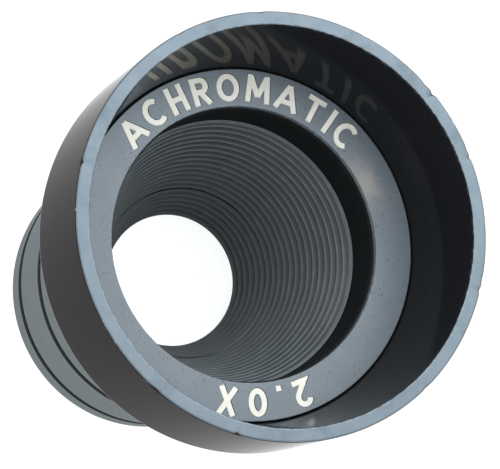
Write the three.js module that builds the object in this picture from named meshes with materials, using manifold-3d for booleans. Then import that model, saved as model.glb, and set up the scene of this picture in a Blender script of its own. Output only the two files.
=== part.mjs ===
// A short barlow lens for a 1.25 inch focuser, built the way it comes apart on a bench.
// Millimetres, +Z up. The telescope end of the barrel stands on Z = 0 and the eyepiece cup opens at the top.
// Every turned piece shares the Z axis, and each is a closed profile of [radius, height] points turned
// once round.
import * as THREE from "three";
import { mergeVertices } from "three/addons/utils/BufferGeometryUtils.js";
import Module from "manifold-3d";

const { Manifold, Mesh } = await Module().then((library) => {
  library.setup();
  return library;
});

// Driving dimensions
const TOTAL_LENGTH = 49.3;
const BARREL_RADIUS = 31.75 / 2; // the 1.25 inch push fit
const CLEARANCE = 0.1; // between turned pieces that seat in each other
const TURNED_SIDES = 48;

// Head: a shallow tapered cup on a hub that grips the barrel
const HEAD_RADIUS = 21.78;
const HEAD_LENGTH = 14.18;
const HEAD_BACK_Z = TOTAL_LENGTH - HEAD_LENGTH;
const MOUTH_RADIUS = 20.39;
const CUP_FLOOR_RADIUS = 18.74;
const CUP_FLOOR_Z = TOTAL_LENGTH - 12.17;
const RIM_CHAMFER = 0.22;
const BACK_CHAMFER = 0.45;
const HUB_RADIUS = 18.6;
const HUB_END_Z = 26.6;
const HUB_CHAMFER = 0.9;
const HEAD_BORE_RADIUS = 14.4;

// Name ring seated in the floor of the cup
const NAME_RING_THICKNESS = 0.8;
const NAME_RING_BORE = 14.6;
const NAME_POCKET_RADIUS = 18.7;

// Main barrel
const BARREL_TOP_Z = 30.8;

// Light baffle: V grooves down one bore that tapers from the barrel's mouth to the field stop.
// The barrel holds the upper grooves and the lens retainer the rest.
const GROOVE_PITCH = 25.4 / 26; // 26 to the inch
const GROOVE_DEPTH = 0.45;
const GROOVE_COUNT = 20;
const BARREL_GROOVES = 14;
const MOUTH_CREST_RADIUS = 14.2;
const STOP_RADIUS = 7.56;
const STOP_Z = 10.83;

// Seams: a recessed black washer between the barrel and the cell, and between the cell and the nose ring
const CELL_SEAM_Z = 12.43;
const NOSE_SEAM_Z = 3.72;
const SEAM_WIDTH = 1.0;
const SEAM_DEPTH = 0.55;
const SEAM_CHAMFER = 0.3;

// Screw joints: plain spigots stand for the fine male threads, running clear of the plain sockets
const SPIGOT_RADIUS = 13.9;
const SOCKET_RADIUS = 14.3;
const CELL_SPIGOT_TOP_Z = 16.1;
const NOSE_SPIGOT_TOP_Z = 6.5;
const NOSE_SOCKET_TOP_Z = 7.0;

// Lens cell
const CELL_BORE_RADIUS = 12.95;
const LENS_RADIUS = 10.9;
const LENS_BORE_RADIUS = 11.05;
const LENS_LEDGE_RADIUS = 10.2; // wide enough not to cut into an oblique view through the stop
const LENS_LEDGE_Z = 5.2;
const WEB_BOTTOM_Z = 4.4;
const WEB_RADIUS = 12.45;
const RETAINER_SEAT_Z = 9.7;

// Lens retainer: screws down into the cell on the glass. Two slots in its top take a spanner.
const RETAINER_SKIRT_RADIUS = 8.4;
const SLOT_WIDTH = 1.2;
const SLOT_LENGTH = 2.4;
const SLOT_DEPTH = 0.6;

// Nose ring with the bore for screw-in filters
const FILTER_BORE_RADIUS = 14.2;
const FILTER_BORE_DEPTH = 2.6;
const NOSE_BORE_RADIUS = 12.6;
const NOSE_CHAMFER = 0.7;

// Glass: a positive flint meniscus below a biconcave crown, radii of curvature of the four faces
const FLINT_EDGE = 1.4;
const FLINT_LOWER_CURVE = 140;
const FLINT_UPPER_CURVE = 70;
const SPACER_EDGE = 0.25;
const SPACER_BORE = 10.2;
const CROWN_EDGE = 2.1;
const CROWN_LOWER_CURVE = 88;
const CROWN_UPPER_CURVE = 80;
const LENS_FACE_STEPS = 6;

// Grub screws: three M2.5 hexagon socket screws, radial in the hub
const GRUB_COUNT = 3;
const GRUB_RADIUS = 1.2;
const GRUB_LENGTH = 2.3;
const GRUB_TIP = 0.35;
const GRUB_HOLE_RADIUS = 1.5;
const GRUB_DRILL_LENGTH = 6;
const GRUB_Z = 29.3;
const GRUB_SOCKET_WIDTH = 1.3;
const GRUB_SOCKET_DEPTH = 1.3;
const GRUB_SIDES = 24;

const FINISHES = {
  blackAnodised: { color: 0x17191c, roughness: 0.28, metalness: 0.5 },
  satinSlate: { color: 0x3c434b, roughness: 0.5, metalness: 0.6 },
  matteBlack: { color: 0x101214, roughness: 0.6, metalness: 0.3 },
  silver: { color: 0xb9bcc0, roughness: 0.35, metalness: 1 },
  glass: { color: 0xd7e6ea, roughness: 0.02, metalness: 0, transparent: true, opacity: 0.35 },
  blackSteel: { color: 0x1d1d1f, roughness: 0.4, metalness: 0.8 },
};

function piece(name, geometry, finish) {
  const mesh = new THREE.Mesh(geometry, new THREE.MeshStandardMaterial(FINISHES[finish]));
  mesh.name = name;
  return mesh;
}

// Turns a profile of [radius, height] points round Z. The profile runs anticlockwise seen with the radius
// to the right, and closes on itself or starts and ends on the axis.
function turned(profile) {
  const points = profile.map(([radius, height]) => new THREE.Vector2(radius, height));
  const lathe = new THREE.LatheGeometry(points, TURNED_SIDES);
  return lathe.rotateX(Math.PI / 2);
}

function closed(profile) {
  return [...profile, profile[0]];
}

// A plain ring between two radii and two heights
function ring(inner, outer, bottom, top) {
  return turned(
    closed([
      [outer, bottom],
      [outer, top],
      [inner, top],
      [inner, bottom],
    ]),
  );
}

function solidOf(geometry) {
  const bare = geometry.clone();
  bare.deleteAttribute("normal");
  bare.deleteAttribute("uv");
  const merged = mergeVertices(bare, 1e-4);
  return new Manifold(
    new Mesh({
      numProp: 3,
      vertProperties: merged.attributes.position.array,
      triVerts: new Uint32Array(merged.index.array),
    }),
  );
}

function geometryOf(solid) {
  const mesh = solid.getMesh();
  return new THREE.BufferGeometry()
    .setAttribute("position", new THREE.BufferAttribute(mesh.vertProperties, 3))
    .setIndex(new THREE.BufferAttribute(mesh.triVerts, 1));
}

function cut(geometry, tools) {
  const solid = tools.reduce((left, tool) => left.subtract(solidOf(tool)), solidOf(geometry));
  return geometryOf(solid);
}

// A point of the tapered bore, so many grooves below its mouth and so far behind the line of its crests
function borePoint(groove, depth) {
  const crest = MOUTH_CREST_RADIUS + ((STOP_RADIUS - MOUTH_CREST_RADIUS) * groove) / GROOVE_COUNT;
  return [crest + depth, STOP_Z + GROOVE_PITCH * (GROOVE_COUNT - groove)];
}

// Crests of the tapered bore from one groove down to another, with a root halfway between each two
function boreGrooves(first, last) {
  const points = [];
  for (let groove = first; groove < last; groove++) {
    points.push(borePoint(groove, 0), borePoint(groove + 0.5, GROOVE_DEPTH));
  }
  return [...points, borePoint(last, 0)];
}

// Points on a spherical lens face, from the axis out to the edge. A positive curve bulges upwards.
function lensFace(edgeZ, curve) {
  const vertexZ = edgeZ + sag(LENS_RADIUS, curve);
  return Array.from({ length: LENS_FACE_STEPS + 1 }, (_, i) => {
    const radius = (LENS_RADIUS * i) / LENS_FACE_STEPS;
    return [radius, vertexZ - sag(radius, curve)];
  });
}

function sag(radius, curve) {
  return Math.sign(curve) * (Math.abs(curve) - Math.sqrt(curve * curve - radius * radius));
}

function lensElement(bottomZ, lowerCurve, topZ, upperCurve) {
  return turned([...lensFace(bottomZ, lowerCurve), ...lensFace(topZ, upperCurve).reverse()]);
}

// A tool or screw whose own axis, +Y in three.js, is laid along +X and carried to a radius, height and turn
function radial(geometry, radius, z, turn) {
  return geometry.rotateZ(-Math.PI / 2).translate(radius, 0, z).rotateZ(turn);
}

function grubTurn(index) {
  return ((index + 0.5) * 2 * Math.PI) / GRUB_COUNT;
}

function headCup() {
  const shelfZ = CUP_FLOOR_Z - NAME_RING_THICKNESS - CLEARANCE;
  const barrelSeat = BARREL_RADIUS + CLEARANCE;
  const shell = turned(
    closed([
      [HEAD_RADIUS, HEAD_BACK_Z + BACK_CHAMFER],
      [HEAD_RADIUS, TOTAL_LENGTH - RIM_CHAMFER],
      [HEAD_RADIUS - RIM_CHAMFER, TOTAL_LENGTH],
      [MOUTH_RADIUS + RIM_CHAMFER / 2, TOTAL_LENGTH],
      [MOUTH_RADIUS, TOTAL_LENGTH - RIM_CHAMFER / 2],
      [CUP_FLOOR_RADIUS, CUP_FLOOR_Z],
      [NAME_POCKET_RADIUS, shelfZ],
      [HEAD_BORE_RADIUS, shelfZ],
      [HEAD_BORE_RADIUS, BARREL_TOP_Z + CLEARANCE],
      [barrelSeat, BARREL_TOP_Z + CLEARANCE],
      [barrelSeat, HUB_END_Z],
      [HUB_RADIUS - HUB_CHAMFER, HUB_END_Z],
      [HUB_RADIUS, HUB_END_Z + HUB_CHAMFER],
      [HUB_RADIUS, HEAD_BACK_Z],
      [HEAD_RADIUS - BACK_CHAMFER, HEAD_BACK_Z],
    ]),
  );
  const drills = Array.from({ length: GRUB_COUNT }, (_, i) => {
    const drill = new THREE.CylinderGeometry(
      GRUB_HOLE_RADIUS,
      GRUB_HOLE_RADIUS,
      GRUB_DRILL_LENGTH,
      GRUB_SIDES,
    );
    return radial(drill, (barrelSeat + HUB_RADIUS) / 2, GRUB_Z, grubTurn(i));
  });
  return piece("head_cup", cut(shell, drills), "blackAnodised");
}

function nameRing() {
  const outer = NAME_POCKET_RADIUS - CLEARANCE;
  const shape = ring(NAME_RING_BORE, outer, CUP_FLOOR_Z - NAME_RING_THICKNESS, CUP_FLOOR_Z);
  return piece("name_ring", shape, "satinSlate");
}

function grubScrew(index) {
  const body = new THREE.LatheGeometry(
    [
      [0, 0],
      [GRUB_RADIUS - GRUB_TIP, 0],
      [GRUB_RADIUS, GRUB_TIP],
      [GRUB_RADIUS, GRUB_LENGTH],
      [0, GRUB_LENGTH],
    ].map(([x, y]) => new THREE.Vector2(x, y)),
    GRUB_SIDES,
  );
  const acrossCorners = GRUB_SOCKET_WIDTH / Math.sqrt(3);
  const socket = new THREE.CylinderGeometry(acrossCorners, acrossCorners, 2 * GRUB_SOCKET_DEPTH, 6);
  const screw = cut(body, [socket.translate(0, GRUB_LENGTH, 0)]);
  const seat = BARREL_RADIUS + CLEARANCE;
  return piece(`grub_screw_${index + 1}`, radial(screw, seat, GRUB_Z, grubTurn(index)), "blackSteel");
}

function barrel() {
  const bottom = CELL_SEAM_Z + SEAM_WIDTH / 2 + CLEARANCE / 2;
  const [, socketTop] = borePoint(BARREL_GROOVES, 0);
  const shape = turned(
    closed([
      [BARREL_RADIUS, bottom + SEAM_CHAMFER],
      [BARREL_RADIUS, BARREL_TOP_Z],
      [HEAD_BORE_RADIUS, BARREL_TOP_Z],
      ...boreGrooves(0, BARREL_GROOVES),
      [SOCKET_RADIUS, socketTop],
      [SOCKET_RADIUS, bottom],
      [BARREL_RADIUS - SEAM_CHAMFER, bottom],
    ]),
  );
  return piece("barrel", shape, "silver");
}

// A black washer recessed below the barrel's surface, round a spigot
function seamWasher(name, z) {
  const half = SEAM_WIDTH / 2 - CLEARANCE / 2;
  const shape = ring(SPIGOT_RADIUS + CLEARANCE, BARREL_RADIUS - SEAM_DEPTH, z - half, z + half);
  return piece(name, shape, "matteBlack");
}

function lensCell() {
  const top = CELL_SEAM_Z - SEAM_WIDTH / 2 - CLEARANCE / 2;
  const bottom = NOSE_SEAM_Z + SEAM_WIDTH / 2 + CLEARANCE / 2;
  const shape = turned(
    closed([
      [BARREL_RADIUS, bottom + SEAM_CHAMFER],
      [BARREL_RADIUS, top - SEAM_CHAMFER],
      [BARREL_RADIUS - SEAM_CHAMFER, top],
      [SPIGOT_RADIUS, top],
      [SPIGOT_RADIUS, CELL_SPIGOT_TOP_Z - SEAM_CHAMFER],
      [SPIGOT_RADIUS - SEAM_CHAMFER, CELL_SPIGOT_TOP_Z],
      [CELL_BORE_RADIUS, CELL_SPIGOT_TOP_Z],
      [CELL_BORE_RADIUS, RETAINER_SEAT_Z],
      [LENS_BORE_RADIUS, RETAINER_SEAT_Z],
      [LENS_BORE_RADIUS, LENS_LEDGE_Z],
      [LENS_LEDGE_RADIUS, LENS_LEDGE_Z],
      [LENS_LEDGE_RADIUS, WEB_BOTTOM_Z],
      [WEB_RADIUS, WEB_BOTTOM_Z],
      [WEB_RADIUS, NOSE_SOCKET_TOP_Z],
      [SOCKET_RADIUS, NOSE_SOCKET_TOP_Z],
      [SOCKET_RADIUS, bottom],
      [BARREL_RADIUS - SEAM_CHAMFER, bottom],
    ]),
  );
  return piece("lens_cell", shape, "silver");
}

function lensRetainer() {
  const outer = CELL_BORE_RADIUS - CLEARANCE;
  const under = RETAINER_SEAT_Z + CLEARANCE;
  const skirtZ = LENS_LEDGE_Z + glassHeight() + CLEARANCE;
  const topEdge = borePoint(BARREL_GROOVES + CLEARANCE / GROOVE_PITCH, 0);
  const [, top] = topEdge;
  const shape = turned(
    closed([
      [outer, under],
      [outer, top],
      topEdge,
      borePoint(BARREL_GROOVES + 0.5, GROOVE_DEPTH),
      ...boreGrooves(BARREL_GROOVES + 1, GROOVE_COUNT),
      [RETAINER_SKIRT_RADIUS, skirtZ],
      [LENS_RADIUS, skirtZ],
      [LENS_RADIUS, under],
    ]),
  );
  const slots = [-1, 1].map((side) =>
    new THREE.BoxGeometry(SLOT_LENGTH, SLOT_WIDTH, 2 * SLOT_DEPTH).translate(side * outer, 0, top),
  );
  return piece("lens_retainer", cut(shape, slots), "matteBlack");
}

// Height of the glass stack above the ledge, with the clearance under each of its three pieces
function glassHeight() {
  return FLINT_EDGE + SPACER_EDGE + CROWN_EDGE + 3 * CLEARANCE;
}

function glassStack() {
  const flintZ = LENS_LEDGE_Z + CLEARANCE;
  const flintTop = flintZ + FLINT_EDGE;
  const spacerZ = flintTop + CLEARANCE;
  const spacerTop = spacerZ + SPACER_EDGE;
  const crownZ = spacerTop + CLEARANCE;
  const crownTop = crownZ + CROWN_EDGE;
  return [
    piece("flint_element", lensElement(flintZ, FLINT_LOWER_CURVE, flintTop, FLINT_UPPER_CURVE), "glass"),
    piece("element_spacer", ring(SPACER_BORE, LENS_RADIUS, spacerZ, spacerTop), "matteBlack"),
    piece("crown_element", lensElement(crownZ, CROWN_LOWER_CURVE, crownTop, -CROWN_UPPER_CURVE), "glass"),
  ];
}

function noseRing() {
  const top = NOSE_SEAM_Z - SEAM_WIDTH / 2 - CLEARANCE / 2;
  const shape = turned(
    closed([
      [BARREL_RADIUS, NOSE_CHAMFER],
      [BARREL_RADIUS, top - SEAM_CHAMFER],
      [BARREL_RADIUS - SEAM_CHAMFER, top],
      [SPIGOT_RADIUS, top],
      [SPIGOT_RADIUS, NOSE_SPIGOT_TOP_Z],
      [NOSE_BORE_RADIUS, NOSE_SPIGOT_TOP_Z],
      [NOSE_BORE_RADIUS, FILTER_BORE_DEPTH],
      [FILTER_BORE_RADIUS, FILTER_BORE_DEPTH],
      [FILTER_BORE_RADIUS, 0],
      [BARREL_RADIUS - NOSE_CHAMFER, 0],
    ]),
  );
  return piece("nose_ring", shape, "silver");
}

function body(...pieces) {
  return new THREE.Group().add(...pieces);
}

const barlowLens = body(
  body(
    headCup(),
    nameRing(),
    barrel(),
    ...Array.from({ length: GRUB_COUNT }, (_, i) => grubScrew(i)),
  ),
  seamWasher("cell_washer", CELL_SEAM_Z),
  body(lensCell(), lensRetainer(), ...glassStack(), seamWasher("nose_washer", NOSE_SEAM_Z), noseRing()),
);

export default barlowLens;
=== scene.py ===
import bmesh
import bpy
import numpy as np
from mathutils import Matrix, Vector


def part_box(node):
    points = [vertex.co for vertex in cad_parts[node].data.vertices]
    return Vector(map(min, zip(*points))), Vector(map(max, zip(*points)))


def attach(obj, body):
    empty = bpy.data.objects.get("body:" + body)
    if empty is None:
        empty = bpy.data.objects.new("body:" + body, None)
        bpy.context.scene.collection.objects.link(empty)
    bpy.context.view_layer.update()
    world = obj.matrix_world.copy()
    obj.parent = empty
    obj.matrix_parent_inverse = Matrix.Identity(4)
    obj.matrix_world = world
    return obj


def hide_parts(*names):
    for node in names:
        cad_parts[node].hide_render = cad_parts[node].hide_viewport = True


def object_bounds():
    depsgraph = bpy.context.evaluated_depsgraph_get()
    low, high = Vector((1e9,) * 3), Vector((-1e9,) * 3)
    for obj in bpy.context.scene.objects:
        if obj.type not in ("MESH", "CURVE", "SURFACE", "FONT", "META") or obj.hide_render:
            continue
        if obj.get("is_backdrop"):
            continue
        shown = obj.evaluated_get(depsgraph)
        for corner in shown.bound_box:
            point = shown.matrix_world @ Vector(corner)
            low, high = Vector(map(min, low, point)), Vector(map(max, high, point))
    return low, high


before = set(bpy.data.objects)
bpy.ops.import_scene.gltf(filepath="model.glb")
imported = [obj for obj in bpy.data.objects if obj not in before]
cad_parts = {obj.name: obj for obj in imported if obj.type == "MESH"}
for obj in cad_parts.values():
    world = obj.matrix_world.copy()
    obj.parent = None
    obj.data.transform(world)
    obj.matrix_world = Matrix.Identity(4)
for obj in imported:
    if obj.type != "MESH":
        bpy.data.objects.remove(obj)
cad_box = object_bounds()

# Sizes are in millimetres here, and become metres where a mesh is made.
MM = 0.001
SIDES = 360  # round a turned piece
HEAD_SIDES = 600
GLASS_SIDES = 256
TURN = 2 * np.pi


def span(node):
    """Bottom height, top height and outer radius of a CAD node."""
    low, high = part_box(node)
    return low.z / MM, high.z / MM, high.x / MM


HUB_END, RIM, HEAD_RADIUS = span("head_cup")
NAME_UNDER, CUP_FLOOR, NAME_RADIUS = span("name_ring")
BARREL_END, BARREL_TOP, BARREL_RADIUS = span("barrel")
CELL_END, CELL_TOP, _ = span("lens_cell")
RETAINER_UNDER, RETAINER_TOP, RETAINER_RADIUS = span("lens_retainer")
NOSE_END, NOSE_TOP, _ = span("nose_ring")
FLINT_LOW, _, LENS_RADIUS = span("flint_element")
_, CROWN_HIGH, _ = span("crown_element")

# Inner walls and steps, which the boxes of the nodes don't give
CLEARANCE = 0.1  # between turned pieces that seat in each other
MOUTH_RADIUS = 20.39
CUP_FLOOR_RADIUS = 18.74
HEAD_LENGTH = 14.18
HEAD_BACK = RIM - HEAD_LENGTH
HUB_RADIUS = 18.6
HEAD_BORE = 14.4
NAME_BORE = 14.6
BARREL_SEAT = BARREL_RADIUS + CLEARANCE
CELL_BORE = 12.95
SPIGOT_RADIUS = 13.9
SOCKET_RADIUS = 14.3
CELL_SHOULDER = 11.88
THREAD_PITCH = 0.75
THREAD_DEPTH = 0.3
POCKET_TOP = 7.0
FILTER_PITCH = 0.6
FILTER_THREAD = 0.3
FILTER_BORE = 14.2
FILTER_DEPTH = 2.6
NOSE_BORE = 12.6
NOSE_SHOULDER = 3.17
RETAINER_SEAT = 9.7
RETAINER_SKIRT = 8.4
LEDGE_RADIUS = 10.2
LEDGE = 5.2
LENS_BORE = 11.05
WEB_RADIUS = 12.45
WEB_UNDER = 4.4

# The retainer's skirt, which ends just above the glass, and its two spanner slots
SKIRT_DROP = 0.45
SKIRT_UNDER = RETAINER_UNDER - SKIRT_DROP
SLOT_LENGTH = 2.4
SLOT_WIDTH = 1.2
SLOT_DEPTH = 0.6

# The glass: edge thicknesses, and the radii of curvature of the lower and upper faces
FLINT_EDGE = 1.4
FLINT_CURVES = (140, 70)
CROWN_EDGE = 2.1
CROWN_CURVES = (88, -80)
SPACER_BORE = 10.2

# The light baffle: a thread down one bore that tapers from the barrel's mouth to the field stop
BAFFLE_PITCH = 25.4 / 26  # 26 to the inch
BAFFLE_DEPTH = 0.45
CREST_FLAT = 0.1  # of the pitch
BAFFLE_TURNS = 20
STOP_RADIUS = 7.56
STOP_HEIGHT = 10.83
MOUTH_CREST = 14.2
MOUTH_HEIGHT = STOP_HEIGHT + BAFFLE_TURNS * BAFFLE_PITCH
BAFFLE_GAP = 0.02  # between the barrel's part of the baffle and the retainer's
SOCKET_TOP = RETAINER_TOP + BAFFLE_GAP

# Height of the rows of points on each threaded wall
BAFFLE_ROW = 0.08
SOCKET_ROW = 0.12
SPIGOT_ROW = 0.06
NOSE_SPIGOT_ROW = 0.1
FILTER_ROW = 0.05

# Grub screws: hexagon socket screws, radial in the hub
GRUB_SIDES = 96
GRUB_RADIUS = 1.2
GRUB_LENGTH = 2.3
GRUB_TIP = 0.35
GRUB_EDGE = 0.15
GRUB_SOCKET = 1.3  # across the flats
GRUB_SOCKET_DEPTH = 1.2
GRUB_DIMPLE = 0.15
GRUB_HOLE = 1.5
DRILL_SIDES = 48
GRUB_HEIGHT = 29.3
GRUB_TURNS = (1 / 6, 3 / 6, 5 / 6)

# The two seams round the barrel
CELL_SEAM = (BARREL_END + CELL_SHOULDER) / 2
NOSE_SEAM = (CELL_END + NOSE_SHOULDER) / 2
SEAM_REACH = 0.85  # how far each way from a seam the painted shade in its recesses may lie

# Knocks in the rim: turn, depth and half width
RIM_NICKS = (
    (0.108, 0.22, 0.25),
    (0.117, 0.10, 0.6),
    (0.052, 0.16, 0.22),
    (0.058, 0.07, 0.5),
    (0.176, 0.06, 0.3),
    (0.262, 0.09, 0.45),
    (0.327, 0.05, 0.3),
    (0.455, 0.10, 0.25),
    (0.634, 0.06, 0.5),
    (0.702, 0.12, 0.22),
    (0.861, 0.08, 0.4),
    (0.949, 0.15, 0.25),
    (0.957, 0.06, 0.5),
)
NICK_REACH = 0.6  # how far from the rim's edge a knock moves the metal
NICK_DROP = 0.6  # how far down it pushes for each millimetre inwards
WARM_HIGHLIGHT_TURN = 0.07  # where a warm painted highlight, a painted reflection, lies on the name ring


# ---------------------------------------------------------------- surfaces

def mesh_object(name, points, faces):
    """A plain mesh object from points in millimetres and faces."""
    mesh = bpy.data.meshes.new(name)
    mesh.from_pydata((np.asarray(points) * MM).tolist(), [], np.asarray(faces).tolist())
    made = bpy.data.objects.new(name, mesh)
    bpy.context.scene.collection.objects.link(made)
    return made


def finished(piece, body, finishes, stands_for=(), crease=30):
    """Merges poles, smooths up to a crease angle in degrees, and says what the piece rides on."""
    work = bmesh.new()
    work.from_mesh(piece.data)
    bmesh.ops.remove_doubles(work, verts=work.verts, dist=0.0005 * MM)
    work.to_mesh(piece.data)
    work.free()
    mesh = piece.data
    mesh.polygons.foreach_set("use_smooth", np.ones(len(mesh.polygons), bool))
    mesh.set_sharp_from_angle(angle=np.radians(crease))
    mesh.materials.clear()
    for finish in finishes:
        mesh.materials.append(finish)
    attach(piece, body)
    if stands_for:
        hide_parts(*stands_for)
    return piece


def grid_faces(rows, columns, wrap_rows=False, wrap_columns=False):
    """Quads of a grid of points numbered row by row, closed on itself either way if asked."""
    i = np.arange(rows if wrap_rows else rows - 1)
    j = np.arange(columns if wrap_columns else columns - 1)
    i, j = (a.ravel() for a in np.meshgrid(i, j, indexing="ij"))
    next_i, next_j = (i + 1) % rows, (j + 1) % columns
    return np.stack(
        [i * columns + j, i * columns + next_j, next_i * columns + next_j, next_i * columns + j], 1
    )


def softened(corners, steps=5, beside=0.06):
    """A closed profile from corners (radius, height, softness). Each corner c becomes the quadratic
    curve (1-t)^2 a + 2t(1-t) c + t^2 b between the points a and b that lie a softness away from it
    on its two sides. One more point beside each end keeps the flats flat when shaded."""
    corners = np.array(corners, float)
    at = corners[:, :2]
    sides = [np.roll(at, 1, 0) - at, np.roll(at, -1, 0) - at]
    lengths = [np.linalg.norm(side, axis=1)[:, None] for side in sides]
    trim = np.minimum(corners[:, 2:], 0.4 * np.minimum(*lengths))
    more = np.minimum(trim + beside, 0.45 * np.minimum(*lengths))
    back, ahead = (side / length for side, length in zip(sides, lengths))
    t = np.linspace(0, 1, steps)[:, None, None]
    start, end = at + back * trim, at + ahead * trim
    arc = (1 - t) ** 2 * start + 2 * t * (1 - t) * at + t**2 * end
    rows = np.concatenate([[at + back * more], arc, [at + ahead * more]])
    points = rows.transpose(1, 0, 2).reshape(-1, 2)
    return points[np.linalg.norm(points - np.roll(points, 1, 0), axis=1) > 1e-4]


def spun(profile, sides=SIDES):
    """Points (rows, sides, 3) of a profile (radius, height) turned round Z:
    x = r cos a, y = r sin a, z = h."""
    angle = np.arange(sides) * TURN / sides
    radius, height = np.asarray(profile, float).T[:, :, None]
    x, y = radius * np.cos(angle), radius * np.sin(angle)
    return np.stack([x, y, np.broadcast_to(height, x.shape)], -1)


def turned(name, points, closed=True):
    """A turned solid from spun points. Their profile runs anticlockwise seen with the radius to the
    right, and closes on itself or runs from axis to axis."""
    faces = grid_faces(*points.shape[:2], closed, True)
    return mesh_object(name, points.reshape(-1, 3), faces)


def straight(radius):
    """A wall of one radius, as a function of the height."""
    return lambda z: radius + 0 * z


def baffle_wall(z):
    """Crest radius of the tapered bore: a straight line from the field stop to the mouth."""
    share = (z - STOP_HEIGHT) / (MOUTH_HEIGHT - STOP_HEIGHT)
    return STOP_RADIUS + (MOUTH_CREST - STOP_RADIUS) * share


def dense(profile, wall, step):
    """The profile with the stretch that lies on a wall cut into short steps of height."""
    rows = []
    for here, ahead in zip(profile, np.roll(profile, -1, 0)):
        rows.append(here)
        on_wall = max(abs(here[0] - wall(here[1])), abs(ahead[0] - wall(ahead[1]))) < 1e-6
        count = int(abs(here[1] - ahead[1]) / step)
        if on_wall and count > 1:
            rows.extend(here + (ahead - here) * k / count for k in range(1, count))
    return np.array(rows)


def groove(phase):
    """Depth share of a groove, from 0 on its crest to 1 in its root, for a phase in turns: a straight
    V from the edges of a narrow crest flat, raised to the power 0.8, which opens the root."""
    vee = 1 - np.abs(2 * (phase % 1) - 1)
    return np.clip((vee - CREST_FLAT) / (1 - CREST_FLAT), 0, 1) ** 0.8


def threaded(points, wall, low, high, pitch, depth, runout=0.3):
    """Cuts a right-handed thread into one wall of spun points: its radius changes by
    depth * groove((z - high) / pitch - angle / turn), so that a crest starts at the height high,
    and the cut fades out over a runout inside both ends."""
    x, y, z = np.moveaxis(points, -1, 0)
    radius, angle = np.hypot(x, y), np.arctan2(y, x)
    fade = np.clip((z - low) / runout, 0, 1) * np.clip((high - z) / runout, 0, 1)
    on_wall = np.abs(radius - wall(z)) < 1e-6
    grown = 1 + depth * groove((z - high) / pitch - angle / TURN) * fade * on_wall / radius
    return np.stack([x * grown, y * grown, z], -1)


def combined(piece, tool, operation, overlapping=False):
    """The piece cut by, or kept inside, a tool that is then thrown away. The tool may be one mesh
    of overlapping solids."""
    modifier = piece.modifiers.new("cut", "BOOLEAN")
    modifier.operation = operation
    modifier.solver = "EXACT"
    modifier.use_self = overlapping
    modifier.object = tool
    graph = bpy.context.evaluated_depsgraph_get()
    cut = bpy.data.meshes.new_from_object(piece.evaluated_get(graph), depsgraph=graph)
    piece.modifiers.clear()
    piece.data = cut
    bpy.data.objects.remove(tool)
    return piece


# ---------------------------------------------------------------- finishes

class Wire:
    """An output socket in a finish. Arithmetic on wires adds Math nodes to the finish's tree."""

    def __init__(self, finish, socket):
        self.finish = finish
        self.socket = socket

    def math(self, operation, *values):
        return self.finish.node("ShaderNodeMath", {"operation": operation}, dict(enumerate(values)))

    def __add__(self, other):
        return self.math("ADD", self, other)

    def __sub__(self, other):
        return self.math("SUBTRACT", self, other)

    def __rsub__(self, other):
        return self.math("SUBTRACT", other, self)

    def __mul__(self, other):
        return self.math("MULTIPLY", self, other)

    def __pow__(self, other):
        return self.math("POWER", self, other)

    def __gt__(self, other):
        return self.math("GREATER_THAN", self, other)

    def __lt__(self, other):
        return self.math("LESS_THAN", self, other)

    __radd__ = __add__
    __rmul__ = __mul__


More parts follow.
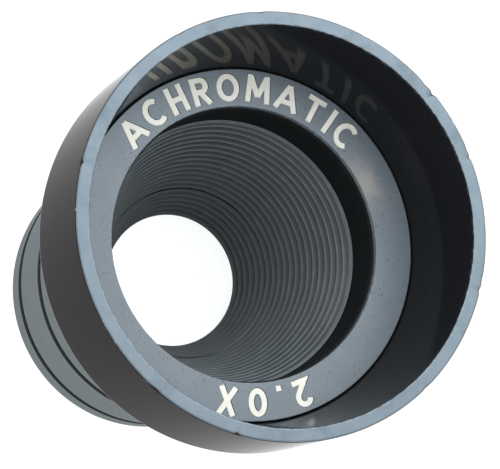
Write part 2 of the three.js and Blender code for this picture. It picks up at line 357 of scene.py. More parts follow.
class Finish:
    """A material built round one Principled BSDF, with coordinates on the piece in millimetres."""

    def __init__(self, name):
        self.material = bpy.data.materials.new(name)
        self.material.use_nodes = True
        self.tree = self.material.node_tree
        self.shader = self.tree.nodes["Principled BSDF"]
        self.place = self.node("ShaderNodeTexCoord", {}, {}, "Object")
        self.place = self.node(
            "ShaderNodeVectorMath", {"operation": "SCALE"}, {"Vector": self.place, "Scale": 1 / MM}
        )
        self.x, self.y, self.z = (self.part(self.place, axis) for axis in "XYZ")
        self.radius = (self.x * self.x + self.y * self.y) ** 0.5
        self.angle = self.x.math("ARCTAN2", self.y, self.x)

    def node(self, kind, settings, inputs, output=0):
        """Any node: its type, its settings, the values or wires of its inputs, and the output used."""
        made = self.tree.nodes.new(kind)
        for name, value in settings.items():
            setattr(made, name, value)
        for name, value in inputs.items():
            self.feed(made.inputs[name], value)
        return Wire(self, made.outputs[output])

    def feed(self, socket, value):
        if isinstance(value, Wire):
            self.tree.links.new(value.socket, socket)
        elif value is not None:
            socket.default_value = value

    def part(self, vector, axis):
        return self.node("ShaderNodeSeparateXYZ", {}, {"Vector": vector}, axis)

    def vector(self, x, y, z):
        return self.node("ShaderNodeCombineXYZ", {}, {"X": x, "Y": y, "Z": z})

    def noise(self, scale, detail=3.0, roughness=0.55, at=None):
        """Cloudy noise from 0 to 1, so many features per millimetre."""
        inputs = {"Vector": at or self.place, "Scale": scale, "Detail": detail, "Roughness": roughness}
        return self.node("ShaderNodeTexNoise", {}, inputs, "Fac")

    def ramp(self, value, low, high, out_low=0.0, out_high=1.0):
        """Smooth step from out_low to out_high as a value goes from low to high."""
        inputs = dict(enumerate([value, low, high, out_low, out_high]))
        return self.node("ShaderNodeMapRange", {"interpolation_type": "SMOOTHSTEP"}, inputs)

    def blend(self, share, first, second):
        """Colour that goes from the first to the second with a share."""
        settings = {"data_type": "RGBA", "clamp_factor": True}
        return self.node("ShaderNodeMix", settings, {0: share, 6: first, 7: second}, 2)

    def bump(self, height, distance, strength=1.0, under=None):
        """A normal tipped by a height from 0 to 1 over a distance in millimetres."""
        inputs = {"Height": height, "Distance": distance * MM, "Strength": strength, "Normal": under}
        return self.node("ShaderNodeBump", {}, inputs, "Normal")

    def turning(self, lines, along):
        """Fine marks of the turning tool: noise that changes quickly along a coordinate, so many
        times per millimetre, and hardly at all round the piece."""
        at = self.vector(along * lines, self.angle * 1.5, 0.0)
        return self.noise(1.0, detail=2.0, at=at)

    def near(self, value, centre, width):
        """1 where a value is at a centre, fading to 0 a width away on both sides."""
        distance = value.math("ABSOLUTE", value - centre)
        return self.ramp(distance, 0.0, width, 1.0, 0.0)

    def surface(self, **sockets):
        """Sets or links the shader's sockets, named with spaces as underscores."""
        for name, value in sockets.items():
            self.feed(self.shader.inputs[name.replace("_", " ")], value)
        return self.material


def colour(red, green, blue):
    return (red, green, blue, 1.0)


def black_anodised():
    """Black anodised head: a glossy cup, a matt bore below the name ring, and a rim whose flat is
    worn to a satin grey with darker stains, nibbled along its inner edge and nicked along the
    outer one."""
    f = Finish("black_anodised")
    on_rim = f.ramp(f.z, RIM - 0.09, RIM - 0.03)
    high = f.ramp(f.z, RIM - 0.7, RIM - 0.1)
    in_cup = (f.radius < MOUTH_RADIUS + 0.1) * (f.z > CUP_FLOOR - 0.05) * (1 - on_rim)
    in_bore = (f.radius < BARREL_RADIUS) * (f.z < CUP_FLOOR)
    mottle = f.noise(0.55, detail=5.0, roughness=0.6)
    rim_grey = f.blend(mottle, colour(0.108, 0.138, 0.162), colour(0.160, 0.190, 0.215))
    stain = f.ramp(f.noise(0.23, detail=7.0, roughness=0.65), 0.50, 0.68)
    rim_grey = f.blend(stain * 0.4, rim_grey, colour(0.070, 0.090, 0.106))
    # Outside the cup the black carries a warm brown tint, a painted reflection; inside the cup it is a
    # neutral dark grey
    walls = f.blend(in_cup, colour(0.012, 0.0095, 0.009), colour(0.030, 0.032, 0.036))
    walls = f.blend(in_bore, walls, colour(0.015, 0.017, 0.018))
    base = f.blend(on_rim, walls, rim_grey)
    chips = f.ramp(f.noise(1.7, detail=6.0, roughness=0.75), 0.48, 0.56)
    inner = f.near(f.radius, MOUTH_RADIUS + 0.03, 0.15) * chips * high
    outer = f.near(f.radius, HEAD_RADIUS - 0.08, 0.20) * chips * high
    nicks = inner * 0.45 + outer * f.ramp(f.noise(0.8), 0.58, 0.68) * 0.7
    base = f.blend(nicks, base, colour(0.34, 0.38, 0.41))
    specks = f.ramp(f.noise(3.4, detail=2.0), 0.725, 0.765)
    base = f.blend(specks * 0.35, base, colour(0.30, 0.31, 0.31))
    grain = f.noise(6.0, detail=2.0)
    rough = 0.09 + on_rim * 0.31 + in_bore * 0.45 + specks * 0.3 + nicks * 0.2
    normal = f.bump(grain, 0.004, on_rim, under=f.bump(f.turning(5.0, f.z + f.radius), 0.0006))
    return f.surface(
        Base_Color=base,
        Roughness=rough,
        Metallic=on_rim * 0.55 + in_cup * 0.65,
        Specular_IOR_Level=0.010,
        Specular_Tint=colour(0.72, 0.70, 0.67),
        Normal=normal,
    )


def satin_slate():
    """Satin dark slate face of the name ring: blasted grain with fine pits, cloudy worn patches, a worn
    edge round the bore, and a warm painted highlight beside the bore on one side."""
    f = Finish("satin_slate")
    clouds = f.noise(0.35, detail=5.0, roughness=0.6)
    grain = f.noise(8.0, detail=3.0, roughness=0.75)
    base = f.blend(clouds, colour(0.115, 0.142, 0.165), colour(0.160, 0.188, 0.212))
    base = f.blend(f.ramp(grain, 0.50, 0.66) * 0.4, base, colour(0.25, 0.28, 0.30))
    pits = f.ramp(f.noise(3.6, detail=2.0), 0.30, 0.38, 1.0, 0.0)
    base = f.blend(pits * 0.6, base, colour(0.045, 0.055, 0.065))
    worn = f.near(f.radius, NAME_BORE, 0.10) * f.ramp(f.noise(2.5), 0.50, 0.65)
    base = f.blend(worn * 0.5, base, colour(0.40, 0.42, 0.43))
    # Painted highlight: a warm painted reflection, lighter and warmer, beside the bore at one angle
    warm_highlight = f.near(f.angle, WARM_HIGHLIGHT_TURN * TURN, 0.26) * f.near(f.radius, NAME_BORE + 0.6, 3.0)
    warm_highlight = warm_highlight * f.ramp(f.noise(0.6), 0.25, 0.60)
    base = f.blend(warm_highlight * 0.7, base, colour(0.34, 0.31, 0.28))
    normal = f.bump(grain, 0.014, under=f.bump(f.turning(8.0, f.radius), 0.002))
    return f.surface(
        Base_Color=base,
        Metallic=0.2,
        Roughness=0.38 + grain * 0.15,
        Normal=normal,
    )


def letter_enamel():
    """Cream enamel that fills the engraving: chalky, a little uneven, with a few rust specks."""
    f = Finish("letter_enamel")
    clouds = f.noise(1.1, detail=4.0)
    base = f.blend(clouds, colour(0.70, 0.69, 0.59), colour(0.86, 0.85, 0.77))
    rust = f.ramp(f.noise(1.9, detail=3.0), 0.66, 0.74)
    base = f.blend(rust * 0.7, base, colour(0.50, 0.30, 0.12))
    grit = f.noise(5.0, detail=4.0)
    base = f.blend(f.ramp(grit, 0.60, 0.8) * 0.45, base, colour(0.42, 0.41, 0.36))
    return f.surface(Base_Color=base, Roughness=0.5, Normal=f.bump(grit, 0.04))


def satin_silver():
    """Satin metal of the barrel, turned with fine rings and lightly scuffed, with painted shade, near
    black and matt, in the recesses of the seams."""
    f = Finish("satin_silver")
    lines = f.turning(14.0, f.z)
    rub = f.noise(0.5, detail=5.0, roughness=0.65)
    base = f.blend(rub, colour(0.195, 0.217, 0.222), colour(0.255, 0.277, 0.282))
    # Painted shade: the recessed faces at the seams are painted near black and not metallic
    seams = f.near(f.z, CELL_SEAM, SEAM_REACH) + f.near(f.z, NOSE_SEAM, SEAM_REACH)
    seam_recess_shade = (f.radius < BARREL_RADIUS - 0.03) * f.ramp(seams, 0.0, 0.1)
    base = f.blend(seam_recess_shade, base, colour(0.018, 0.020, 0.021))
    rough = 0.24 + rub * 0.14 + lines * 0.08 + seam_recess_shade * 0.3
    normal = f.bump(lines, 0.004)
    return f.surface(
        Base_Color=base,
        Metallic=1 - seam_recess_shade,
        Specular_Tint=colour(0.45, 0.47, 0.48),
        Roughness=rough,
        Normal=normal,
    )


def baffle_black():
    """Semi-matt green-black inside of the barrel, the cell and the lens retainer, painted lighter down
    towards the glass for the light that comes up through the lens, with a painted highlight along the
    crests of the baffle thread that fades with depth."""
    f = Finish("baffle_black")
    dust = f.noise(0.8, detail=5.0, roughness=0.7)
    base = f.blend(dust, colour(0.036, 0.044, 0.047), colour(0.060, 0.071, 0.075))
    deep = f.ramp(f.z, MOUTH_HEIGHT, STOP_HEIGHT)
    # Painted light: greyer towards the glass, for the light that comes up through the lens
    base = f.blend(deep * 0.8, base, colour(0.120, 0.135, 0.138))
    taper = (MOUTH_CREST - STOP_RADIUS) / (MOUTH_HEIGHT - STOP_HEIGHT)
    behind_crest = f.radius - STOP_RADIUS - (f.z - STOP_HEIGHT) * taper
    crest = f.ramp(behind_crest.math("ABSOLUTE", behind_crest), 0.02, 0.16, 1.0, 0.0)
    # Painted highlight along the crests of the baffle thread, fainter with depth
    crest_highlight = crest * (0.3 + dust * 0.6) * (1 - deep * 0.75)
    base = f.blend(crest_highlight, base, colour(0.30, 0.34, 0.36))
    fluff = f.ramp(f.noise(2.6, detail=4.0), 0.70, 0.80)
    base = f.blend(fluff * 0.3, base, colour(0.30, 0.31, 0.30))
    marks = f.turning(10.0, f.z + f.radius)
    rough = 0.30 + dust * 0.12 + deep * 0.25
    return f.surface(Base_Color=base, Roughness=rough, Normal=f.bump(marks, 0.003))


def seam_black():
    """Matt black fibre of the seam washers."""
    f = Finish("seam_black")
    fibres = f.noise(4.0, detail=5.0)
    base = f.blend(fibres, colour(0.010, 0.010, 0.011), colour(0.028, 0.028, 0.030))
    return f.surface(Base_Color=base, Roughness=0.75, Normal=f.bump(fibres, 0.02))


def black_steel():
    """Black oxide steel of the grub screws."""
    f = Finish("black_steel")
    stain = f.noise(3.0, detail=4.0)
    base = f.blend(stain, colour(0.02, 0.02, 0.022), colour(0.06, 0.058, 0.055))
    return f.surface(Base_Color=base, Metallic=0.8, Roughness=0.32 + stain * 0.15)


def coated_glass():
    """Clear lens glass under a thin anti-reflection coating, with a little dust."""
    f = Finish("coated_glass")
    dust = f.ramp(f.noise(2.2, detail=3.0), 0.70, 0.78)
    return f.surface(
        Base_Color=colour(0.99, 1.0, 0.995),
        Roughness=dust * 0.12,
        IOR=1.52,
        Transmission_Weight=1.0,
        Thin_Film_Thickness=120.0,
        Thin_Film_IOR=1.38,
    )


BLACK = black_anodised()
SLATE = satin_slate()
ENAMEL = letter_enamel()
SILVER = satin_silver()
BAFFLE = baffle_black()
SEAM = seam_black()
STEEL = black_steel()
GLASS = coated_glass()


# ---------------------------------------------------------------- head

def drill(turn):
    """A smooth rod along a radius of the hub, as a tool for a grub screw hole."""
    angle = np.linspace(0, TURN, DRILL_SIDES, endpoint=False)
    across, up = GRUB_HOLE * np.cos(angle), GRUB_HEIGHT + GRUB_HOLE * np.sin(angle)
    ends = (BARREL_RADIUS - 1, HUB_RADIUS + 2)  # past both walls of the hub
    rows = [np.stack([np.full(DRILL_SIDES, end), across, up], 1) for end in ends]
    points = turned_about(np.concatenate(rows), turn)
    first, second = list(range(DRILL_SIDES)), list(range(DRILL_SIDES, 2 * DRILL_SIDES))
    faces = grid_faces(2, DRILL_SIDES, False, True).tolist() + [first[::-1], second]
    mesh = bpy.data.meshes.new("drill")
    mesh.from_pydata((points * MM).tolist(), [], faces)
    tool = bpy.data.objects.new("drill", mesh)
    bpy.context.scene.collection.objects.link(tool)
    return tool


def turned_about(points, turn):
    """Points carried round Z by a share of a turn."""
    c, s = np.cos(turn * TURN), np.sin(turn * TURN)
    return points @ np.array([[c, s, 0], [-s, c, 0], [0, 0, 1]])


def nicked(points):
    """Small knocks in the outer edge of the rim: each pulls the points near its angle inwards and
    down, by its depth times exp(-(angle distance / width)^2) times nearness to the edge."""
    x, y, z = np.moveaxis(points, -1, 0)
    radius, angle = np.hypot(x, y), np.arctan2(y, x)
    beside = np.hypot(HEAD_RADIUS - radius, RIM - z)
    edge = np.clip(1 - beside / NICK_REACH, 0, 1)
    depth = 0
    for turn, deep, width in RIM_NICKS:
        away = (angle - turn * TURN + TURN / 2) % TURN - TURN / 2
        depth = depth + deep * np.exp(-((away * HEAD_RADIUS / width) ** 2)) * edge
    return np.stack([x * (1 - depth / radius), y * (1 - depth / radius), z - depth * NICK_DROP], -1)


def head_shell():
    """The cup with its tapered wall, thin rim and the hub that grips the barrel."""
    shelf = NAME_UNDER - CLEARANCE
    seat_top = BARREL_TOP + CLEARANCE
    profile = softened([
        (HEAD_RADIUS, HEAD_BACK, 0.5),
        (HEAD_RADIUS, RIM - 1.2, 0.0),
        (HEAD_RADIUS, RIM - 0.7, 0.0),
        (HEAD_RADIUS, RIM, 0.2),
        (MOUTH_RADIUS, RIM, 0.12),
        (CUP_FLOOR_RADIUS, CUP_FLOOR, 0.0),
        (CUP_FLOOR_RADIUS - 0.04, shelf, 0.05),
        (HEAD_BORE, shelf, 0.12),
        (HEAD_BORE, seat_top, 0.12),
        (BARREL_SEAT, seat_top, 0.05),
        (BARREL_SEAT, HUB_END, 0.15),
        (HUB_RADIUS, HUB_END, 0.9),
        (HUB_RADIUS, HEAD_BACK, 0.15),
    ])
    head = turned("head_shell", nicked(spun(profile, HEAD_SIDES)))
    for turn in GRUB_TURNS:
        head = combined(head, drill(turn), "DIFFERENCE")
    return finished(head, "barrel_assembly", [BLACK], ["head_cup"])


def grub_screw(number, turn):
    """A hexagon socket screw as one grid: the radius of each row goes from the socket's floor up its
    six sides, over the face and down the body to the tip. A row's radius is its hexagon's,
    apothem / cos(angle from the middle of a flat), blended into a circle outside the socket."""
    angle = np.arange(GRUB_SIDES) * TURN / GRUB_SIDES
    to_flat = (angle + TURN / 12) % (TURN / 6) - TURN / 12
    hexagon = GRUB_SOCKET / 2 / np.cos(to_flat)
    floor = GRUB_LENGTH - GRUB_SOCKET_DEPTH
    rows = [
        (0 * hexagon, floor - GRUB_DIMPLE),
        (hexagon, floor),
        (hexagon, GRUB_LENGTH - 0.06),
        (hexagon + 0.05, GRUB_LENGTH),
        (GRUB_RADIUS - GRUB_EDGE + 0 * hexagon, GRUB_LENGTH),
        (GRUB_RADIUS + 0 * hexagon, GRUB_LENGTH - GRUB_EDGE),
        (GRUB_RADIUS + 0 * hexagon, GRUB_TIP),
        (GRUB_RADIUS - GRUB_TIP + 0 * hexagon, 0),
        (0 * hexagon, 0),
    ]
    along = np.array([np.full(GRUB_SIDES, BARREL_SEAT + height) for _, height in rows])
    out = np.array([radius for radius, _ in rows])
    grid = np.stack([along, out * np.cos(angle), GRUB_HEIGHT + out * np.sin(angle)], -1)
    points = turned_about(grid.reshape(-1, 3), turn)
    faces = grid_faces(len(rows), GRUB_SIDES, False, True)[:, ::-1]
    screw = mesh_object(f"grub_screw_body_{number}", points, faces)
    return finished(screw, "barrel_assembly", [STEEL], [f"grub_screw_{number}"])


# ---------------------------------------------------------------- lettering

LETTER_HEIGHT = 3.0
STROKE = 0.23  # of the height
ENAMEL_STROKE = 0.195  # narrower, so the engraving shows dark round the enamel
LETTER_RADIUS = 16.62
ENGRAVING = 0.3
ENAMEL_BELOW = 0.1


def ellipse(x, y, across, up, start, end, steps=20):
    """Points on an ellipse round (x, y), between two angles in degrees anticlockwise from right."""
    t = np.radians(np.linspace(start, end, steps))
    return np.stack([x + across * np.cos(t), y + up * np.sin(t)], 1)


def path(*pieces):
    """One path from points and runs of points."""
    return np.concatenate([np.atleast_2d(piece).astype(float) for piece in pieces])


# Each glyph: its ink width, and the middle lines of its strokes, in letter heights
GLYPHS = {
    "A": (0.84, [
        path((-0.37, 0), (0, 0.93)),
        path((0.37, 0), (0, 0.93)),
        path((-0.25, 0.31), (0.25, 0.31)),
    ]),
    "C": (0.76, [ellipse(0.03, 0.5, 0.33, 0.4, 48, 312)]),
    "H": (0.68, [path((x, 0), (x, 1)) for x in (-0.24, 0.24)] + [path((-0.24, 0.5), (0.24, 0.5))]),
    "I": (0.2, [path((0, 0), (0, 1))]),
    "M": (0.9, [
        path((-0.36, 0), (-0.31, 1)),
        path((0.36, 0), (0.31, 1)),
        path((-0.29, 0.93), (0, 0.22)),
        path((0.29, 0.93), (0, 0.22)),
    ]),
    "O": (0.84, [ellipse(0, 0.5, 0.32, 0.4, 0, 360, 41)]),
    "R": (0.68, [
        path((-0.24, 0), (-0.24, 1)),
        path(
            (-0.24, 0.9),
            (0.0, 0.9),
            ellipse(0.02, 0.69, 0.2, 0.21, 80, -80, 12),
            (0.0, 0.48),
            (-0.24, 0.48),
        ),
        path((-0.02, 0.46), (0.25, 0)),
    ]),
    "T": (0.72, [path((0, 0), (0, 0.9)), path((-0.36, 0.9), (0.36, 0.9))]),
    "X": (0.72, [path((-0.27, 0), (0.27, 1)), path((0.27, 0), (-0.27, 1))]),
    "0": (0.68, [ellipse(0, 0.5, 0.24, 0.4, 0, 360, 41)]),
    "2": (0.66, [path(ellipse(0, 0.66, 0.22, 0.24, 165, -35, 14), (-0.2, 0.1), (0.3, 0.1))]),
    ".": (0.2, [path((0, 0), (0, 0.2))]),
}


def ribbon(line, half):
    """The outline of a stroke: its middle line moved half its width to the left and to the right,
    square to the mean direction at each point and further out at a corner, by 1 / cos(half the turn)."""
    ahead = np.diff(line, axis=0)
    ahead /= np.linalg.norm(ahead, axis=1)[:, None]
    closed = np.allclose(line[0], line[-1])
    before = np.vstack([ahead[-1:] if closed else ahead[:1], ahead])
    after = np.vstack([ahead, ahead[:1] if closed else ahead[-1:]])
    mean = before + after
    mean /= np.linalg.norm(mean, axis=1)[:, None]
    out = half / np.sum(mean * after, axis=1)[:, None]
    left = np.stack([-mean[:, 1], mean[:, 0]], 1) * out
    return line + left, line - left, closed


def stroke_solid(line, half, place):
    """A stroke as a solid from under the engraving to above the ring: its ribbon carried up."""
    left, right, closed = ribbon(line, half)
    low, high = CUP_FLOOR - ENGRAVING, CUP_FLOOR + ENGRAVING
    corners = [(right, high), (right, low), (left, low), (left, high)]
    grid = np.stack([place(side, height) for side, height in corners], 1)
    rows = len(grid)
    if closed:
        rows -= 1
        return grid[:-1].reshape(-1, 3), grid_faces(rows, 4, True, True)
    ends = [[3, 2, 1, 0], [4 * rows - 4, 4 * rows - 3, 4 * rows - 2, 4 * rows - 1]]
    return grid.reshape(-1, 3), np.vstack([grid_faces(rows, 4, False, True), ends])


def placed(centre, across):
    """Puts points of a glyph on the ring: across is the letter's middle along the word, and its top
    points outwards at the angle centre."""
    turn = centre - across * LETTER_HEIGHT / LETTER_RADIUS
    up, right = np.array([np.cos(turn), np.sin(turn)]), np.array([np.sin(turn), -np.cos(turn)])

    def place(points, height):
        x, y = (points * LETTER_HEIGHT).T[:, :, None]
        flat = (LETTER_RADIUS - LETTER_HEIGHT / 2 + y) * up + x * right
        return np.column_stack([flat, np.full(len(flat), height)])

    return place


def word_solids(word, centre_degrees, gap, stroke):
    """Every stroke of a word that reads clockwise round the ring, centred on an angle, with the gap
    between letters and the width of a stroke in letter heights."""
    widths = np.array([GLYPHS[letter][0] for letter in word])
    middles = np.cumsum(widths + gap) - widths / 2
    middles -= (middles[0] - widths[0] / 2 + middles[-1] + widths[-1] / 2) / 2
    for letter, middle in zip(word, middles):
        place = placed(np.radians(centre_degrees), middle)
        for line in GLYPHS[letter][1]:
            yield stroke_solid(line, stroke / 2, place)


def engraving_tool(stroke):
    """All strokes of both words, of one width, as one mesh of overlapping solids."""
    points, faces, count = [], [], 0
    solids = [*word_solids("ACHROMATIC", 90, 0.26, stroke), *word_solids("2.0X", -86, 0.42, stroke)]
    for solid_points, solid_faces in solids:
        points.append(solid_points)
        faces.append(solid_faces + count)
        count += len(solid_points)
    return mesh_object("engraving", np.concatenate(points), np.concatenate(faces))


def flat_ring(name, inner, outer, low, high, soft=0.0):
    corners = [(outer, low, soft), (outer, high, soft), (inner, high, soft), (inner, low, soft)]
    profile = softened(corners) if soft else np.array(corners)[:, :2]
    return turned(name, spun(profile))


def name_plate():
    """The name ring with both words engraved."""
    plate = flat_ring("name_plate", NAME_BORE, NAME_RADIUS, NAME_UNDER, CUP_FLOOR, 0.07)
    combined(plate, engraving_tool(STROKE), "DIFFERENCE", overlapping=True)
    return finished(plate, "barrel_assembly", [SLATE], ["name_ring"])


def enamel_fill():
    """The enamel that lies in the engraving, a little below the ring's face."""
    low, high = CUP_FLOOR - ENGRAVING + 0.01, CUP_FLOOR - ENAMEL_BELOW
    fill = flat_ring("enamel_fill", NAME_BORE + 0.2, NAME_RADIUS - 0.2, low, high)
    combined(fill, engraving_tool(ENAMEL_STROKE), "INTERSECT", overlapping=True)
    return finished(fill, "barrel_assembly", [ENAMEL])


# ---------------------------------------------------------------- barrel and cell

def split_inside(piece, radius_limit):
    """Gives the second finish to the faces whose middle lies inside a radius."""
    mesh = piece.data
    middles = np.empty(len(mesh.polygons) * 3)
    mesh.polygons.foreach_get("center", middles)
    middles = middles.reshape(-1, 3) / MM
    inside = np.hypot(middles[:, 0], middles[:, 1]) < radius_limit
    mesh.polygons.foreach_set("material_index", inside.astype(np.int32))


def baffled(profile, low, beyond=0.0):
    """Spun points with the baffle thread on the stretch of the profile that lies on its wall. It
    runs out at a low end, or runs through it where there is more of the thread beyond."""
    points = spun(dense(profile, baffle_wall, BAFFLE_ROW))
    return threaded(points, baffle_wall, low - beyond, MOUTH_HEIGHT, BAFFLE_PITCH, BAFFLE_DEPTH)


def barrel_tube():
    """The push-fit barrel: silver outside, and the upper turns of the black baffle inside."""
    profile = softened([
        (BARREL_RADIUS, BARREL_END, 0.3),
        (BARREL_RADIUS, BARREL_TOP, 0.15),
        (HEAD_BORE, BARREL_TOP, 0.1),
        (MOUTH_CREST, MOUTH_HEIGHT, 0.0),
        (baffle_wall(SOCKET_TOP), SOCKET_TOP, 0.0),
        (SOCKET_RADIUS, SOCKET_TOP, 0.05),
        (SOCKET_RADIUS, BARREL_END, 0.15),
    ])
    socket = straight(SOCKET_RADIUS)
    points = baffled(dense(profile, socket, SOCKET_ROW), SOCKET_TOP, beyond=1)
    points = threaded(points, socket, BARREL_END, SOCKET_TOP, THREAD_PITCH, THREAD_DEPTH)
    tube = turned("barrel_tube", points)
    finished(tube, "barrel_assembly", [SILVER, BAFFLE], ["barrel"], crease=100)
    split_inside(tube, (BARREL_RADIUS + SOCKET_RADIUS) / 2 + 0.2)
    return tube


def cell_tube():
    """The lens cell: silver outside, black inside, with a male thread on its spigot."""
    profile = softened([
        (BARREL_RADIUS, CELL_END, 0.3),
        (BARREL_RADIUS, CELL_SHOULDER, 0.3),
        (SPIGOT_RADIUS, CELL_SHOULDER, 0.05),
        (SPIGOT_RADIUS, CELL_TOP, 0.3),
        (CELL_BORE, CELL_TOP, 0.2),
        (CELL_BORE, RETAINER_SEAT, 0.05),
        (LENS_BORE, RETAINER_SEAT, 0.05),
        (LENS_BORE, LEDGE, 0.05),
        (LEDGE_RADIUS, LEDGE, 0.05),
        (LEDGE_RADIUS, WEB_UNDER, 0.1),
        (WEB_RADIUS, WEB_UNDER, 0.15),
        (WEB_RADIUS, POCKET_TOP, 0.05),
        (SOCKET_RADIUS, POCKET_TOP, 0.05),
        (SOCKET_RADIUS, CELL_END, 0.15),
    ])
    spigot = straight(SPIGOT_RADIUS)
    points = spun(dense(profile, spigot, SPIGOT_ROW))
    points = threaded(points, spigot, CELL_SHOULDER, CELL_TOP, THREAD_PITCH, -THREAD_DEPTH)
    tube = turned("cell_tube", points)
    finished(tube, "cell_assembly", [SILVER, BAFFLE], ["lens_cell"])
    split_inside(tube, SPIGOT_RADIUS + 0.6)
    return tube


def lens_retainer():
    """The ring that holds the glass down: the lower turns of the baffle run through it to the sharp
    edge of the field stop, and two slots in its top take a spanner."""
    profile = softened([
        (RETAINER_RADIUS, RETAINER_UNDER, 0.1),
        (RETAINER_RADIUS, RETAINER_TOP, 0.15),
        (baffle_wall(RETAINER_TOP), RETAINER_TOP, 0.0),
        (STOP_RADIUS, STOP_HEIGHT, 0.0),
        (RETAINER_SKIRT, SKIRT_UNDER, 0.0),
        (LENS_RADIUS, SKIRT_UNDER, 0.05),
        (LENS_RADIUS, RETAINER_UNDER, 0.05),
    ])
    retainer = turned("retainer_ring", baffled(profile, STOP_HEIGHT))
    for side in (-1, 1):
        slot = box_tool(side * RETAINER_RADIUS, 0, RETAINER_TOP, SLOT_LENGTH, SLOT_WIDTH, 2 * SLOT_DEPTH)
        combined(retainer, slot, "DIFFERENCE")
    return finished(retainer, "cell_assembly", [BAFFLE], ["lens_retainer"], crease=75)


def box_tool(x, y, z, width, depth, height):
    """A box round a point, as a tool."""
    corner = np.array([(i, j, k) for i in (-1, 1) for j in (-1, 1) for k in (-1, 1)]) / 2
    faces = [[0, 1, 3, 2], [4, 6, 7, 5], [0, 4, 5, 1], [2, 3, 7, 6], [0, 2, 6, 4], [1, 5, 7, 3]]
    return mesh_object("slot", corner * (width, depth, height) + (x, y, z), faces)


def seam_washer(node, body):
    """A washer with a rounded outer edge, recessed in its seam."""
    low, high, outer = span(node)
    inner = SPIGOT_RADIUS + CLEARANCE
    profile = softened([(outer, low, 0.3), (outer, high, 0.3), (inner, high, 0.1), (inner, low, 0.1)])
    washer = turned(node + "_fibre", spun(profile))
    return finished(washer, body, [SEAM], [node])


def nose_collar():
    """The nose ring: rounded end, filter thread inside, and the male thread that holds it."""
    profile = softened([
        (BARREL_RADIUS, NOSE_END, 0.7),
        (BARREL_RADIUS, NOSE_SHOULDER, 0.25),
        (SPIGOT_RADIUS, NOSE_SHOULDER, 0.05),
        (SPIGOT_RADIUS, NOSE_TOP, 0.15),
        (NOSE_BORE, NOSE_TOP, 0.15),
        (NOSE_BORE, FILTER_DEPTH, 0.1),
        (FILTER_BORE, FILTER_DEPTH, 0.05),
        (FILTER_BORE, NOSE_END, 0.2),
    ])
    filter_wall, spigot = straight(FILTER_BORE), straight(SPIGOT_RADIUS)
    points = spun(dense(dense(profile, filter_wall, FILTER_ROW), spigot, NOSE_SPIGOT_ROW))
    points = threaded(points, filter_wall, NOSE_END, FILTER_DEPTH, FILTER_PITCH, FILTER_THREAD, 0.2)
    points = threaded(points, spigot, NOSE_SHOULDER, NOSE_TOP, THREAD_PITCH, -THREAD_DEPTH)
    collar = turned("nose_collar", points)
    finished(collar, "cell_assembly", [SILVER, BAFFLE], ["nose_ring"])
    split_inside(collar, FILTER_BORE - 0.5)
    return collar


# ---------------------------------------------------------------- glass

def sphere_face(edge, curve, steps=24):
    """A lens face from the axis to the edge: z = edge + sag(R) - sag(r), with
    sag(r) = curve - sqrt(curve^2 - r^2), upwards for a positive curve."""
    def sag(r):
        return np.sign(curve) * (abs(curve) - np.sqrt(curve**2 - r**2))
    radius = LENS_RADIUS * np.sin(np.linspace(0, TURN / 4, steps))
    return np.stack([radius, edge + sag(LENS_RADIUS) - sag(radius)], 1)


def lens_glass(name, node, low, high, curves):
    """A lens element from its lower and upper faces and its ground edge between them."""
    lower, upper = sphere_face(low, curves[0]), sphere_face(high, curves[1])[::-1]
    edge = np.array([(LENS_RADIUS, low + (high - low) * t) for t in (0.05, 0.95)])
    points = spun(np.concatenate([lower, edge, upper]), GLASS_SIDES)
    element = turned(name, points, closed=False)
    return finished(element, "cell_assembly", [GLASS], [node])


def glass_stack():
    """The doublet: a positive flint meniscus, a thin spacer and a biconcave crown."""
    lens_glass("flint_glass", "flint_element", FLINT_LOW, FLINT_LOW + FLINT_EDGE, FLINT_CURVES)
    lens_glass("crown_glass", "crown_element", CROWN_HIGH - CROWN_EDGE, CROWN_HIGH, CROWN_CURVES)
    low, high, outer = span("element_spacer")
    spacer = flat_ring("spacer_band", SPACER_BORE, outer, low, high, 0.05)
    finished(spacer, "cell_assembly", [BAFFLE], ["element_spacer"])


head_shell()
for number, turn in enumerate(GRUB_TURNS, 1):
    grub_screw(number, turn)
name_plate()
enamel_fill()
barrel_tube()
seam_washer("cell_washer", "cell_washer")
cell_tube()
lens_retainer()
glass_stack()
seam_washer("nose_washer", "cell_assembly")
nose_collar()


# ---------------------------------------------------------------- stage

# In metres
FLOOR_REACH = 1.5
FLOOR_DROP = 0.00005  # below what stands on it
CAMERA_PLACE = (-0.08482, -0.03775, 0.27129)
CAMERA_RIGHT = Vector((0.94109, -0.05510, 0.33358))
CAMERA_UP = Vector((0.0, 0.98663, 0.16297))


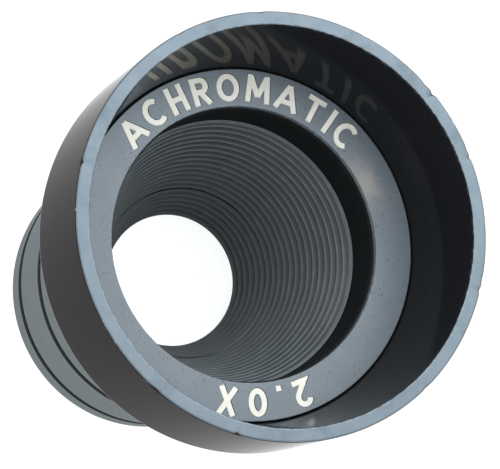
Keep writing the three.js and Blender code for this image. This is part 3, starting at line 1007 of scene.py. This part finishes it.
def stage_floor():
    """A pale floor that glows softly, so the lens looks through to white."""
    mesh = bpy.data.meshes.new("floor")
    corners = [(-1, -1), (1, -1), (1, 1), (-1, 1)]
    points = [(x * FLOOR_REACH, y * FLOOR_REACH, -FLOOR_DROP) for x, y in corners]
    mesh.from_pydata(points, [], [(0, 1, 2, 3)])
    floor = bpy.data.objects.new("floor", mesh)
    bpy.context.scene.collection.objects.link(floor)
    f = Finish("pale_floor")
    f.surface(
        Base_Color=colour(0.08, 0.08, 0.08),
        Roughness=0.9,
        Emission_Color=colour(0.98, 0.99, 1.0),
        Emission_Strength=1.04,
    )
    mesh.materials.append(f.material)
    floor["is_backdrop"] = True


def soft_light(name, place, size, power, tint):
    """A square soft lamp that looks at the middle of the object."""
    data = bpy.data.lights.new(name, "AREA")
    data.size = size
    data.energy = power
    data.color = tint
    lamp = bpy.data.objects.new(name, data)
    bpy.context.scene.collection.objects.link(lamp)
    lamp.location = place
    aim = Vector((0, 0, RIM * MM * 0.7)) - lamp.location
    lamp.rotation_euler = aim.to_track_quat("-Z", "Y").to_euler()


def studio():
    """Even white surroundings, a soft lamp high on the side away from the camera, and a weaker one
    high to the camera's left."""
    world = bpy.data.worlds.new("studio")
    world.use_nodes = True
    world.node_tree.nodes["Background"].inputs["Color"].default_value = colour(0.93, 0.965, 1.0)
    world.node_tree.nodes["Background"].inputs["Strength"].default_value = 1.35
    bpy.context.scene.world = world
    soft_light("window", (0.21, 0.22, 0.55), 0.42, 2.0, (0.97, 0.99, 1.0))
    soft_light("fill", (-0.30, 0.26, 0.45), 0.30, 0.7, (0.98, 0.99, 1.0))
    bpy.context.scene.view_settings.view_transform = "Standard"


def camera():
    """A long lens that looks down into the cup, rolled so that the barrel falls to the lower left."""
    data = bpy.data.cameras.new("camera")
    data.sensor_width = 36
    data.lens = 174.1
    data.clip_start = 0.01
    data.clip_end = 10
    view = bpy.data.objects.new("camera", data)
    bpy.context.scene.collection.objects.link(view)
    back = CAMERA_RIGHT.cross(CAMERA_UP)
    turn = Matrix((CAMERA_RIGHT, CAMERA_UP, back)).transposed()
    view.matrix_world = Matrix.Translation(CAMERA_PLACE) @ turn.to_4x4()
    bpy.context.scene.camera = view


stage_floor()
studio()
camera()

boxes = {"cad": cad_box, "visual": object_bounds()}
{name: [list(corner) for corner in box] for name, box in boxes.items()}
